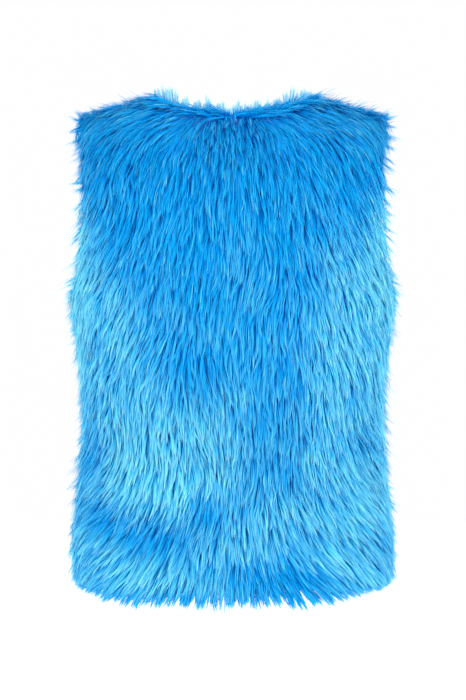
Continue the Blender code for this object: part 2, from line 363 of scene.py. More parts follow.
# Pale tufts that stand up inside the back neckline
NECK_TUFTS = (
    # x, half_width, height
    (0.0930, 0.008, 0.0212),
    (0.0770, 0.011, 0.0287),
    (0.0600, 0.007, 0.0207),
    (0.0450, 0.007, 0.0212),
    (0.0305, 0.008, 0.0234),
    (0.0134, 0.007, 0.0220),
    (-0.0050, 0.007, 0.0206),
    (-0.0170, 0.005, 0.0184),
    (-0.0305, 0.006, 0.0234),
    (-0.0430, 0.006, 0.0212),
    (-0.0560, 0.007, 0.0216),
    (-0.0710, 0.010, 0.0287),
    (-0.0840, 0.007, 0.0227),
    (-0.0950, 0.007, 0.0202),
)
NECK_FUR = Named(
    space=0.0010,
    strands=20,
    radius=(0.40, 0.70),
    wider=2.1,
    bow=1.1,
    turn_deg=7.0,
    curl_deg=14.0,
    # Over a tuft's half width: how its strands lean to the tip and how its height falls
    fan=0.25,
    jitter=0.0025,
    fall=0.36,
    fall_most=1.2,
    fall_power=1.5,
    uneven=(0.84, 1.08),
    fuzz_share=0.20,
    fuzz=(0.008, 0.012),
    ahead=0.60,
    lift=0.84,
)

STRAND = Named(
    points=5,
    width=0.00100,
    # Stray strands stand off their lock, and fill ones lie between the locks
    stray_share=0.14,
    fill_share=0.45,
    fill_less_pale=0.20,
    # glint strands are painted highlights: pale all along their length
    glint_share=0.025,
    # Length, as a share of the lock's
    size_least=0.80,
    size_range=0.26,
    size_less_outside=0.10,
    size_more_stray=0.16,
    # How much of its place in the lock a strand keeps at the tip
    tip=0.30,
    tip_less_pale=0.24,
    tip_more_stray=0.9,
    tip_fill=0.95,
    gather_power=1.1,
    fill_wider=0.7,
    # Waves to the sides
    turns_least=0.7,
    turns_range=0.6,
    wave=0.0006,
    drift=0.0020,
    # Height over the backing
    root_sink=0.0006,
    outside_lower=0.22,
    stray_higher=0.22,
    fill_lower=0.16,
    rise_least=0.88,
    rise_range=0.24,
    # The ribbon
    roll_deg=34.0,
    width_least=0.7,
    width_range=0.6,
    taper_power=2.4,
    stray_thinner=0.35,
    # Its tone: a painted highlight on one side of each lock, painted glints, and painted shade
    # deeper below the hem
    lit_angle=2.2,
    tone_range=0.55,
    tone_lit=0.45,
    tone_stray=0.25,
    glint_pale=0.70,
    shade_from=0.006,
    shade_span=0.018,
    hem_shade=0.46,
)
# A strand's cell in the bake map
BAKE_CELL = Named(left=0.2, middle=0.5, right=0.8, low=0.1, high=0.9)

# Colours along a strand, from its root to its tip, with no painted sheen and with the most of it
DEEP_BLUE = (
    # share, colour
    (0.0, (0.000, 0.270, 0.830, 1)),
    (0.45, (0.000, 0.325, 0.800, 1)),
    (1.0, (0.000, 0.465, 0.830, 1)),
)
PALE_BLUE = (
    (0.0, (0.000, 0.370, 0.870, 1)),
    (0.45, (0.080, 0.620, 0.900, 1)),
    (1.0, (0.370, 0.860, 0.960, 1)),
)
NECK_BLUE = (
    (0.0, (0.000, 0.320, 0.780, 1)),
    (0.20, (0.080, 0.490, 0.860, 1)),
    (0.45, (0.270, 0.660, 0.920, 1)),
    (1.0, (0.500, 0.780, 0.930, 1)),
)
KNIT_MOTTLE = (
    (0.36, (0.50, 0.66, 0.82, 1)),
    (0.62, (1.0, 1.0, 1.0, 1)),
)
KNIT_DEEP = (0.000, 0.250, 0.680, 1)
KNIT_PALE = (0.080, 0.560, 0.880, 1)
# How much a strand's own tone, its lock's and the painted sheen make it pale
TONE = Named(strand=0.70, shift=-0.38, lock=0.20, nap=1.16, power=2.1)

# Studio and camera
WHITE = (1.0, 1.0, 1.0, 1.0)
SKY_LIGHT = 0.74
SKY_SEEN = 0.995
LIGHTS = (
    # name, place, size, power
    ("soft_left", (1.5, 1.9, 0.15), (1.2, 1.8), 30.0),
    ("soft_right", (-1.5, 1.9, 0.15), (1.2, 1.8), 30.0),
    ("soft_front", (0.0, -2.4, 0.2), (1.8, 1.8), 40.0),
)
LIGHT_AIM = (0, 0, -0.33)
FLOOR_Z = -1.42
FLOOR_RADIUS = 9.0
FLOOR_SIDES = 96
CAMERA_DISTANCE = 2.2
CAMERA_X = 0.0
CAMERA_Z = -0.3226
FRAME_HEIGHT = 0.8855
SENSOR = 36.0
CLIP_END = 60.0

SHORT_STEP = 1e-4
LEAST_EVEN = 1e-14
TINY = 1e-9
rng = np.random.default_rng(20417)


def unit(vectors):
    return vectors / np.maximum(np.linalg.norm(vectors, axis=-1, keepdims=True), TINY)


def part_way(values, start, span):
    return np.clip((values - start) / span, 0.0, 1.0)


def smooth(share):
    return share * share * (3.0 - 2.0 * share)


def section_value(column, z):
    """A value of the section table at height z, on a smooth curve through its rows."""
    heights = np.array([row[0] for row in SECTIONS])
    values = np.array([row[column] for row in SECTIONS])
    slopes = np.gradient(values, heights)
    z = np.clip(z, heights[0], heights[-1])
    below = np.clip(np.searchsorted(heights, z, side="right") - 1, 0, len(heights) - 2)
    step = heights[below + 1] - heights[below]
    t = (z - heights[below]) / step
    return (
        (2 * t**3 - 3 * t**2 + 1) * values[below]
        + (t**3 - 2 * t**2 + t) * step * slopes[below]
        + (3 * t**2 - 2 * t**3) * values[below + 1]
        + (t**3 - t**2) * step * slopes[below + 1]
    )


def half_width(z):
    return section_value(1, z)


def depth(side, z):
    return section_value(2 if side == "back" else 3, z)


def shoulder_line(x):
    return SHOULDER_SLOPE * (NECK_HALF_WIDTH - np.abs(x))


def outer_point(side, turn, z):
    width, reach = half_width(z), depth(side, z)
    across, along = np.abs(np.sin(turn)), np.abs(np.cos(turn))
    radius = ((across / width) ** SQUARENESS + (along / reach) ** SQUARENESS) ** (-1 / SQUARENESS)
    x = radius * np.sin(turn)
    climb = part_way(z, SHOULDER_TURN_Z, shoulder_line(x) - SHOULDER_TURN_Z)
    near_centre = np.clip(1.0 - (x / NECK_HALF_WIDTH) ** 2, 0.0, 1.0)
    bend = SHOULDER_BEND + NECK_LEAN * near_centre**2
    y = radius * along * (1.0 - climb**2) ** bend
    return np.stack([x, y if side == "back" else -y, z + 0.0 * x], axis=-1)


def edge_turn(side, z):
    """The turn of the panel's side edge: the side seam, then the armhole above it."""
    below = np.clip((ARMHOLE_WIDEST_Z - z) / (ARMHOLE_WIDEST_Z - UNDERARM_Z), 0.0, 1.0)
    y = ARMHOLE_HALF_DEPTH * np.sqrt(1.0 - below**2)
    share = np.clip(y / depth(side, z), 0.0, 1.0)
    x = half_width(z) * (1.0 - share**SQUARENESS) ** (1 / SQUARENESS)
    return np.arctan2(x, y)


def centre_turn(side, z):
    if side == "back":
        return 0.0 * z
    return np.arcsin(np.clip(FRONT_OPENING / 2 / depth(side, z), 0.0, 1.0))


def panel_turn(side, across, z):
    first = centre_turn(side, z)
    return first + np.abs(across) * (edge_turn(side, z) - first)


def panel_point(side, across, z):
    point = outer_point(side, panel_turn(side, across, z), z)
    point[..., 0] *= np.where(np.asarray(across) < 0, -1.0, 1.0)
    return point


def outward(side, turn, z):
    """Unit normal of the outer surface, from short steps round it and up it."""
    here = outer_point(side, turn, z)
    round_it = here - outer_point(side, turn - SHORT_STEP, z)
    up_it = here - outer_point(side, turn, z - SHORT_STEP)
    return unit(np.cross(up_it, round_it)) * (1.0 if side == "back" else -1.0)


def neck_share(side):
    """Where the neck point lies between the panel's centre and its side edge."""
    level = np.array(0.0)
    width, reach = half_width(level), depth(side, level)
    y = reach * (1.0 - (NECK_HALF_WIDTH / width) ** SQUARENESS) ** (1 / SQUARENESS)
    turn = math.atan2(NECK_HALF_WIDTH, y)
    first = float(centre_turn(side, level))
    return (turn - first) / (float(edge_turn(side, level)) - first)


def top_height(side, x):
    share = min(abs(x) / NECK_HALF_WIDTH, 1.0)
    if share >= 1.0:
        return float(shoulder_line(x))
    if side == "back":
        return -BACK_NECK_DROP * (1.0 - share**BACK_NECK_POWER)
    return -FRONT_NECK_DROP * (1.0 - share) ** FRONT_NECK_POWER


def column_heights(side, across):
    """Heights along one column, from the hem to the underarm's level and on to the top edge."""
    top = 0.0
    for _ in range(SETTLING_STEPS):
        x = float(panel_point(side, np.array(across), np.array(top))[0])
        top = 0.5 * top + 0.5 * top_height(side, x)
    low = np.linspace(HEM_Z, UNDERARM_Z, LOWER_ROWS + 1)
    swing = np.sin(np.linspace(0.0, math.pi / 2, UPPER_ROWS + 1))
    return np.concatenate([low, (UNDERARM_Z + (top - UNDERARM_Z) * swing)[1:]])


def from_spot(points, x, z, width, length, lean_deg):
    """How far points lie across and along a leaning spot, in its own half sizes."""
    lean = math.radians(lean_deg)
    dx, dz = points[..., 0] - x, points[..., 2] - z
    along = (dx * math.sin(lean) + dz * math.cos(lean)) / length
    across = (dx * math.cos(lean) - dz * math.sin(lean)) / width
    return across, along


def fold_rise(side, points):
    rise = np.zeros(points.shape[:-1])
    for *spot, height in FOLDS[side]:
        across, along = from_spot(points, *spot)
        rise += height * np.exp(-(across**2) - along**4)
    return rise


class Panel:
    """One panel's outer backing surface, on a grid of rows and columns that reads at any place."""

    def __init__(self, side, hand):
        self.side, self.hand = side, hand
        self.neck = neck_share(side)
        half = np.concatenate(
            [
                np.linspace(0.0, self.neck, NECK_COLUMNS + 1),
                np.linspace(self.neck, 1.0, SIDE_COLUMNS + 1)[1:],
            ]
        )
        self.columns = half if side == "front" else np.concatenate([-half[::-1], half[1:]])
        rows = LOWER_ROWS + UPPER_ROWS + 1
        grid = np.zeros((rows, len(self.columns), 3))
        heights = np.zeros((rows, len(self.columns)))
        for i, across in enumerate(self.columns):
            heights[:, i] = column_heights(side, across)
            grid[:, i] = panel_point(side, np.full(rows, across), heights[:, i])
        grid *= np.array([hand, 1.0, 1.0])
        normal = outward(side, panel_turn(side, self.columns, heights), heights)
        normal[..., 0] *= np.where(self.columns < 0, -1.0, 1.0) * hand
        spread = np.abs(self.columns)[None, :] + np.zeros((rows, 1))
        row = np.arange(rows)[:, None] + np.zeros((1, len(self.columns)))
        shoulder = (row == rows - 1) & (spread > self.neck - TINY)
        facing = SHOULDER_SLOPE * np.sign(grid[..., 0])
        normal[shoulder] = np.stack([facing, 0.0 * facing, 1.0 + 0.0 * facing], axis=-1)[shoulder]
        seam = shoulder | (spread > 1.0 - TINY) & (row <= LOWER_ROWS)
        normal[seam, 1] = 0.0
        normal = unit(normal)
        grid = grid + normal * (fold_rise(side, grid) * ~seam)[..., None]
        self.normal = normal
        self.surface = grid - normal * PILE
        self.inside = grid - normal * WALL
        way, guard = (1.0 if side == "back" else -1.0), SEAM_GAP / 2
        for points in (self.surface, self.inside):
            points[..., 1] = way * np.maximum(way * points[..., 1], guard)
            points[seam, 1] = way * guard
        self.rows, self.count = self.surface.shape[:2]
        self.middle = (self.count - 1) / 2 if side == "back" else 0.0

    def way(self, c):
        """1 where outward is along the columns, and -1 where it is against them."""
        return np.where(c >= self.middle, 1.0, -1.0)

    def cell(self, r, c):
        """The grid's cell at a place, held at the panel's edges, and the place within it."""
        r = np.clip(r, 0.0, self.rows - 1.0)
        c = np.clip(c, 0.0, self.count - 1.0)
        r0 = np.minimum(r.astype(int), self.rows - 2)
        c0 = np.minimum(c.astype(int), self.count - 2)
        return r0, c0, (r - r0)[..., None], (c - c0)[..., None]

    def read(self, values, r, c):
        """Values at places between the grid's points."""
        r0, c0, fr, fc = self.cell(r, c)
        return (
            values[r0, c0] * (1 - fr) * (1 - fc)
            + values[r0 + 1, c0] * fr * (1 - fc)
            + values[r0, c0 + 1] * (1 - fr) * fc
            + values[r0 + 1, c0 + 1] * fr * fc
        )

    def slopes(self, r, c):
        """How the surface runs there, for one row up and for one column along."""
        r0, c0, fr, fc = self.cell(r, c)
        s = self.surface
        first, second = s[r0, c0], s[r0, c0 + 1]
        third, fourth = s[r0 + 1, c0], s[r0 + 1, c0 + 1]
        up = (third - first) * (1 - fc) + (fourth - second) * fc
        along = (second - first) * (1 - fr) + (fourth - third) * fr
        return up, along

    def place(self, r, c):
        """Point of the surface, carried straight on past the panel's edges, and how far past."""
        past_r = r - np.clip(r, 0.0, self.rows - 1.0)
        past_c = c - np.clip(c, 0.0, self.count - 1.0)
        up, along = self.slopes(r, c)
        past = up * past_r[..., None] + along * past_c[..., None]
        return self.read(self.surface, r, c) + past, np.linalg.norm(past, axis=-1)

    def areas(self):
        """Area of each of the grid's cells."""
        s = self.surface
        up, along = s[1:, :-1] - s[:-1, :-1], s[:-1, 1:] - s[:-1, :-1]
        return np.linalg.norm(np.cross(up, along), axis=-1)


def scatter(panel, space, tries):
    """Places all over a panel, none nearer to another than space."""
    area = panel.areas()
    total = area.cumsum()
    picked = np.searchsorted(total, rng.random(tries) * total[-1])
    picked = np.minimum(picked, area.size - 1)
    r = picked // area.shape[1] + rng.random(tries)
    c = picked % area.shape[1] + rng.random(tries)
    points = panel.place(r, c)[0]
    cells = np.floor(points / space).astype(int)
    kept, taken = [], {}
    around = [(i, j, k) for i in (-1, 0, 1) for j in (-1, 0, 1) for k in (-1, 0, 1)]
    for n in range(tries):
        x, y, z = points[n]
        i0, j0, k0 = cells[n]
        near = (p for i, j, k in around for p in taken.get((i0 + i, j0 + j, k0 + k), ()))
        apart = ((px - x) ** 2 + (py - y) ** 2 + (pz - z) ** 2 for px, py, pz in near)
        if all(square >= space * space for square in apart):
            taken.setdefault((i0, j0, k0), []).append((x, y, z))
            kept.append(n)
    return r[kept], c[kept]


def swirl(points, size, phase):
    """Soft uneven numbers between about -1 and 1 that change over size metres."""
    x, y, z = (points[..., i] * 2 * math.pi / size for i in range(3))
    waves = (np.sin(c * z + a * x + b * y + d * phase) for c, a, b, d in SWIRL_WAVES)
    return sum(waves) / len(SWIRL_WAVES)


def lean_at(panel, points, way):
    """Radians by which the pile leans outward from straight down."""
    x, z = points[..., 0], points[..., 2]
    heights, *columns = np.array(LEANS).T
    side_lean, reach, power = (np.interp(z, heights, column) for column in columns)
    out = np.abs(x) / half_width(z)
    lean = side_lean * (np.tanh(out / reach) / np.tanh(1.0 / reach)) ** power
    off_side = smooth(part_way(np.abs(points[..., 1]), 0.0, SEAM_DEPTH))
    lean = lean * (SEAM_LEAN + (1.0 - SEAM_LEAN) * off_side)
    turn = sum(LEAN_SWIRL_DEG * swirl(points, size, phase) for size, phase in LEAN_SWIRLS)
    if panel.side == "back":
        for place_x, place_z, radius, turn_deg in BRUSHED:
            near = ((x - place_x) ** 2 + (z - place_z) ** 2) / radius**2
            turn = turn + turn_deg * np.exp(-near)
    return np.radians(lean + turn * way * panel.hand)


def lock_paths(panel, r, c, turn, curl, length, own_lean):
    """Each lock's middle line: points, normals, outward and up, and how far past it ends."""
    way = panel.way(c)
    steps = LOCK_POINTS - 1
    frames = []

    def look(r, c, k):
        """The frame at a place, and the rows and columns that one step from it crosses."""
        at, past = panel.place(r, c)
        up, along = panel.slopes(r, c)
        n = unit(panel.read(panel.normal, r, c))
        over = smooth(part_way(at[:, 2], SHOULDER_TURN_Z, ROLL_HEIGHT))
        ahead = -ROLL_AHEAD if panel.side == "back" else ROLL_AHEAD
        climb = np.stack([0.0 * over, ahead * over, 1.0 + 0.0 * over], axis=-1)
        v = unit(climb - n * np.sum(climb * n, axis=-1, keepdims=True))
        o = along * way[:, None]
        o = o - n * np.sum(o * n, axis=-1, keepdims=True)
        o = unit(o - v * np.sum(o * v, axis=-1, keepdims=True))
        lean = lean_at(panel, at, way) if own_lean is None else own_lean
        lean = lean + turn + curl * (k / steps - CURL_START)
        step = (np.sin(lean) * length)[:, None] * o - (np.cos(lean) * length)[:, None] * v
        step = step / steps
        uu, ua, aa = (np.sum(p * q, axis=-1) for p, q in ((up, up), (up, along), (along, along)))
        su, sa = np.sum(step * up, axis=-1), np.sum(step * along, axis=-1)
        even = np.maximum(uu * aa - ua * ua, LEAST_EVEN)
        return (at, n, o, v), past, (su * aa - sa * ua) / even, (sa * uu - su * ua) / even

    for k in range(LOCK_POINTS):
        here, past, step_r, step_c = look(r, c, k)
        frames.append(here)
        step_r, step_c = look(r + step_r / 2, c + step_c / 2, k + 0.5)[-2:]
        moved = np.linalg.norm(panel.place(r + step_r, c + step_c)[0] - here[0], axis=-1)
        held = np.minimum(1.0, STEP_SLACK * length / steps / np.maximum(moved, TINY))
        r, c = r + step_r * held, c + step_c * held
    return [np.stack(values, axis=1) for values in zip(*frames)], past


def trimmed_paths(panel, r, c, turn, curl, length, past_most, own_lean):
    """Paths no further past the panel's edges than past_most."""
    past = lock_paths(panel, r, c, turn, curl, length, own_lean)[1]
    least = np.minimum(LEAST_LENGTH, LEAST_START + past_most)
    shorter = np.maximum(length - np.maximum(past - past_most, 0.0), least)
    return lock_paths(panel, r, c, turn, curl, shorter, own_lean)[0]


def between(values, s):
    """Values of each lock's path at shares s of its length."""
    x = np.clip(s, 0.0, 1.0) * (LOCK_POINTS - 1)
    k = np.minimum(x.astype(int), LOCK_POINTS - 2)
    f = (x - k)[..., None]
    lock = np.arange(values.shape[0])[:, None, None]
    return values[lock, k] * (1 - f) + values[lock, k + 1] * f


def strands_of(paths, lift, strands, radius, pale, width, base, bow):
    """Ribbons for the strands of every lock: points, half widths, and what each point tells."""
    own = STRAND
    centre, normal, out, up = paths
    locks = len(centre)
    shape = (locks, strands)
    t = np.linspace(0.0, 1.0, own.points)[None, None, :]
    reach = np.sqrt(rng.random(shape))
    angle = rng.random(shape) * 2 * math.pi
    off_out = (reach * np.cos(angle) * radius[:, None])[..., None]
    off_up = (reach * np.sin(angle) * radius[:, None])[..., None]
    stray = rng.random(shape) < own.stray_share
    fill = (rng.random(shape) < own.fill_share - own.fill_less_pale * pale[:, None]) & ~stray
    glint = rng.random(shape) < own.glint_share
    size = own.size_least + own.size_range * rng.random(shape)
    s = t * (size - own.size_less_outside * reach + own.size_more_stray * stray)[..., None]
    tip = (own.tip - own.tip_less_pale * pale)[:, None, None]
    tip = tip + own.tip_more_stray * stray[..., None] * rng.random(shape)[..., None]
    tip = np.where(fill[..., None], own.tip_fill, tip)
    off_out = off_out * (1.0 + own.fill_wider * fill[..., None])
    left = np.clip(1.0 - s, 0.0, 1.0)
    gather = left**own.gather_power * (1.0 - tip) + tip
    turns = own.turns_least + own.turns_range * rng.random((locks, 1, 1))
    wave = np.sin(2 * math.pi * (t * turns + rng.random((locks, 1, 1))))
    wave = wave * t * own.wave + (rng.random(shape) - 0.5)[..., None] * t * own.drift
    rise = lift[:, None, None] * (1.0 - left**bow)
    rise = rise * (1.0 - own.outside_lower * reach**2 + own.stray_higher * stray)[..., None]
    rise = rise * (own.rise_least + own.rise_range * rng.random(shape))[..., None]
    rise = rise * (1.0 - own.fill_lower * fill[..., None]) - own.root_sink + base
    n, o, v = between(normal, s), between(out, s), between(up, s)
    points = between(centre, s) + n * rise[..., None]
    points = points + o * (off_out * gather + wave)[..., None] + v * (off_up * gather)[..., None]

    along = unit(np.gradient(points, axis=2))
    roll = np.radians(rng.normal(0.0, own.roll_deg, shape))[..., None, None]
    flat = unit(np.cross(along, n))
    across = flat * np.cos(roll) + np.cross(flat, along) * np.sin(roll)
    half = 0.5 * width * (own.width_least + own.width_range * rng.random(shape))[..., None]
    half = half * (1.0 - t**own.taper_power) * (1.0 - own.stray_thinner * stray[..., None])
    half = half[..., None] * across

    told = np.zeros(points.shape[:3] + (4,))
    told[..., 0] = s
    # Painted highlight: strands on one side of each lock, towards lit_angle, get a paler tone
    lit = 0.5 + 0.5 * reach * np.cos(angle - own.lit_angle)
    tone = own.tone_range * rng.random(shape) + own.tone_lit * lit + own.tone_stray * stray
    # Painted glints: glint strands get the palest tone and are made at least glint_pale pale
    told[..., 1] = np.where(glint, 1.0, np.clip(tone, 0.0, 1.0))[..., None]
    nap = np.where(glint, np.maximum(pale[:, None], own.glint_pale), pale[:, None])
    # Painted shade: strands below the hem are made deeper, as on the fringe's shaded underside
    under = part_way(HEM_Z + own.shade_from - points[..., 2], 0.0, own.shade_span)
    told[..., 2] = nap[..., None] - own.hem_shade * under
    told[..., 3] = rng.random(locks)[:, None, None]
    return [values.reshape(-1, own.points, values.shape[-1]) for values in (points, half, told)]


def add_object(name, mesh):
    item = bpy.data.objects.new(name, mesh)
    bpy.context.scene.collection.objects.link(item)
    return item


def ribbon_mesh(name, points, half, told):
    """One mesh of tapered ribbons, each with its own small cell of the bake map."""
    n, k = points.shape[:2]
    left, right = points[:, :-1] - half[:, :-1], points[:, :-1] + half[:, :-1]
    body = np.stack([left, right], axis=2).reshape(n, 2 * (k - 1), 3)
    verts = np.concatenate([body, points[:, -1:]], axis=1)
    colours = np.concatenate([np.repeat(told[:, :-1], 2, axis=1), told[:, -1:]], axis=1)
    per = 2 * (k - 1) + 1
    quads = [(2 * q, 2 * q + 1, 2 * q + 3, 2 * q + 2) for q in range(k - 2)]
    corner = np.array([i for quad in quads for i in quad] + [2 * k - 4, 2 * k - 3, 2 * k - 2])
    index = (corner[None, :] + per * np.arange(n)[:, None]).ravel()
    starts = (4 * np.arange(k - 1)[None, :] + len(corner) * np.arange(n)[:, None]).ravel()

    mesh = bpy.data.meshes.new(name)
    mesh.vertices.add(n * per)
    mesh.vertices.foreach_set("co", verts.astype(np.float32).ravel())
    mesh.loops.add(len(index))
    mesh.loops.foreach_set("vertex_index", index.astype(np.int32))
    mesh.polygons.add(len(starts))
    mesh.polygons.foreach_set("loop_start", starts.astype(np.int32))
    mesh.polygons.foreach_set("use_smooth", np.ones(len(starts), dtype=bool))
    mesh.update(calc_edges=True)

    side = math.ceil(math.sqrt(n))
    cell = np.arange(n)
    low = np.stack([cell % side, cell // side], axis=1) / side
    at = BAKE_CELL
    u = np.array([at.left, at.right] * (k - 1) + [at.middle])
    share = np.repeat(np.arange(k - 1), 2) / (k - 1)
    v = np.append(at.low + (at.high - at.low) * share, at.high)
    spot = low[:, None, :] + np.stack([u, v], axis=1)[None] / side
    layer = mesh.uv_layers.new(name="OFBake")
    layer.data.foreach_set("uv", spot[:, corner].astype(np.float32).ravel())

    layer = mesh.color_attributes.new("fur", "FLOAT_COLOR", "POINT")
    layer.data.foreach_set("color", colours.astype(np.float32).ravel())
    return add_object(name, mesh)


def shell_mesh(name, panel):
    """The backing: a thin closed sheet along the panel."""
    outer = panel.surface[::SHELL_STEP, ::SHELL_STEP]
    inner = panel.inside[::SHELL_STEP, ::SHELL_STEP]
    rows, count = outer.shape[:2]
    points = np.concatenate([outer.reshape(-1, 3), inner.reshape(-1, 3)])
    offset = rows * count
    faces = []
    for r in range(rows - 1):
        for c in range(count - 1):
            a = r * count + c
            faces.append((a, a + 1, a + count + 1, a + count))
            faces.append((offset + a, offset + a + count, offset + a + count + 1, offset + a + 1))
    ring = list(range(count))
    ring += [r * count + count - 1 for r in range(1, rows)]
    ring += [(rows - 1) * count + c for c in range(count - 2, -1, -1)]
    ring += [r * count for r in range(rows - 2, 0, -1)]
    for a, b in zip(ring, ring[1:] + ring[:1]):
        faces.append((b, a, offset + a, offset + b))
    mesh = bpy.data.meshes.new(name)
    mesh.from_pydata(points.tolist(), [], faces)
    first = points[list(faces[0])]
    facing = np.cross(first[1] - first[0], first[2] - first[0])
    if facing @ panel.normal[0, 0] < 0:
        mesh.flip_normals()
    mesh.shade_smooth()
    mesh.set_sharp_from_angle(angle=math.radians(SHARP_DEG))
    return add_object(name, mesh)


def edge_line(panel, which, end):
    """Rows and columns along one edge; end says on which of the panel's two sides it is."""
    last_r, last_c = panel.rows - 1, panel.count - 1
    upright = {
        "front": (0, last_r),
        "side": (SIDE_START_ROW, LOWER_ROWS),
        "underarm": UNDERARM_ROWS,
        "arm": (LOWER_ROWS, last_r),
    }
    if which in upright:
        r = np.linspace(*upright[which], EDGE_SAMPLES)
        return r, np.full_like(r, last_c if end == "last" else 0)
    if which == "hem":
        c = np.linspace(0, last_c, EDGE_SAMPLES)
        return np.zeros_like(c), c
    if which == "neck":
        inside = np.flatnonzero(np.abs(panel.columns) <= panel.neck + TINY)
        c = np.linspace(inside[0], inside[-1], EDGE_SAMPLES)
    else:
        outer = np.flatnonzero(np.abs(panel.columns) >= panel.neck - TINY)
        share = np.linspace(0, 1, SHOULDER_SAMPLES)
        c = np.interp(share, np.linspace(0, 1, len(outer)), outer)
    return np.full_like(c, last_r), c


def edge_places(panel, which, space, end="first"):
    """Places along one edge, space apart, and how far along it they are."""
    r, c = edge_line(panel, which, end)
    points = panel.place(r, c)[0]
    path = np.concatenate([[0.0], np.cumsum(np.linalg.norm(np.diff(points, axis=0), axis=1))])
    spots = np.arange(space / 2, path[-1], space)
    spots = spots + rng.uniform(-EDGE_JITTER, EDGE_JITTER, len(spots)) * space
    return np.interp(spots, path, r), np.interp(spots, path, c), spots


def below_top(panel, r, c, distance):
    """Rows so far below the top edge, measured along the panel."""
    back = np.arange(0, TOP_ROWS)
    points = np.stack([panel.place(r - k, c)[0] for k in back])
    path = np.linalg.norm(np.diff(points, axis=0), axis=-1).cumsum(axis=0)
    path = np.concatenate([np.zeros((1, len(r))), path])
    return r - np.array([np.interp(d, path[:, i], back) for i, d in enumerate(distance)])


def paleness(panel, points):
    """How pale the pile is painted at a place: painted sheen, and painted shade where an amount is
    below 0.
    """
    pale = np.interp(points[..., 2], *np.array(SHEEN_BY_HEIGHT).T)
    for *spot, amount in SHEEN[panel.side]:
        across, along = from_spot(points, *spot)
        pale = pale + amount * np.exp(-(across**2) - along**2)
    for size, phase in PALE_SWIRLS:
        pale = pale + PALE_SWIRL * swirl(points, size, phase)
    return np.clip(pale, 0.0, 1.0)


def tufts(path, low, high):
    """For each place on an edge, how far along the edge its tuft's tip lies, and which tuft."""
    tips = []
    at = path.min() - high
    while at < path.max() + high:
        at += rng.uniform(low, high)
        tips.append(at)
    tips = np.array(tips)
    which = np.abs(path[:, None] - tips[None, :]).argmin(axis=1)
    return tips[which] - path, which


def hem_corner(points):
    """How near a place is to the hem's rounded corners, in x alone: 0 to 1."""
    x = points[..., 0]
    return part_way(np.abs(x), np.where(x < 0, *CORNER_STARTS), CORNER_SPAN)


def neck_dip(points):
    """How much lower the pile lies on either side of the back neckline's middle: 0 to 1."""
    out = np.abs(points[..., 0]) / NECK_HALF_WIDTH
    return np.exp(-(((out - DIP_OUT) / DIP_SPAN) ** 2))


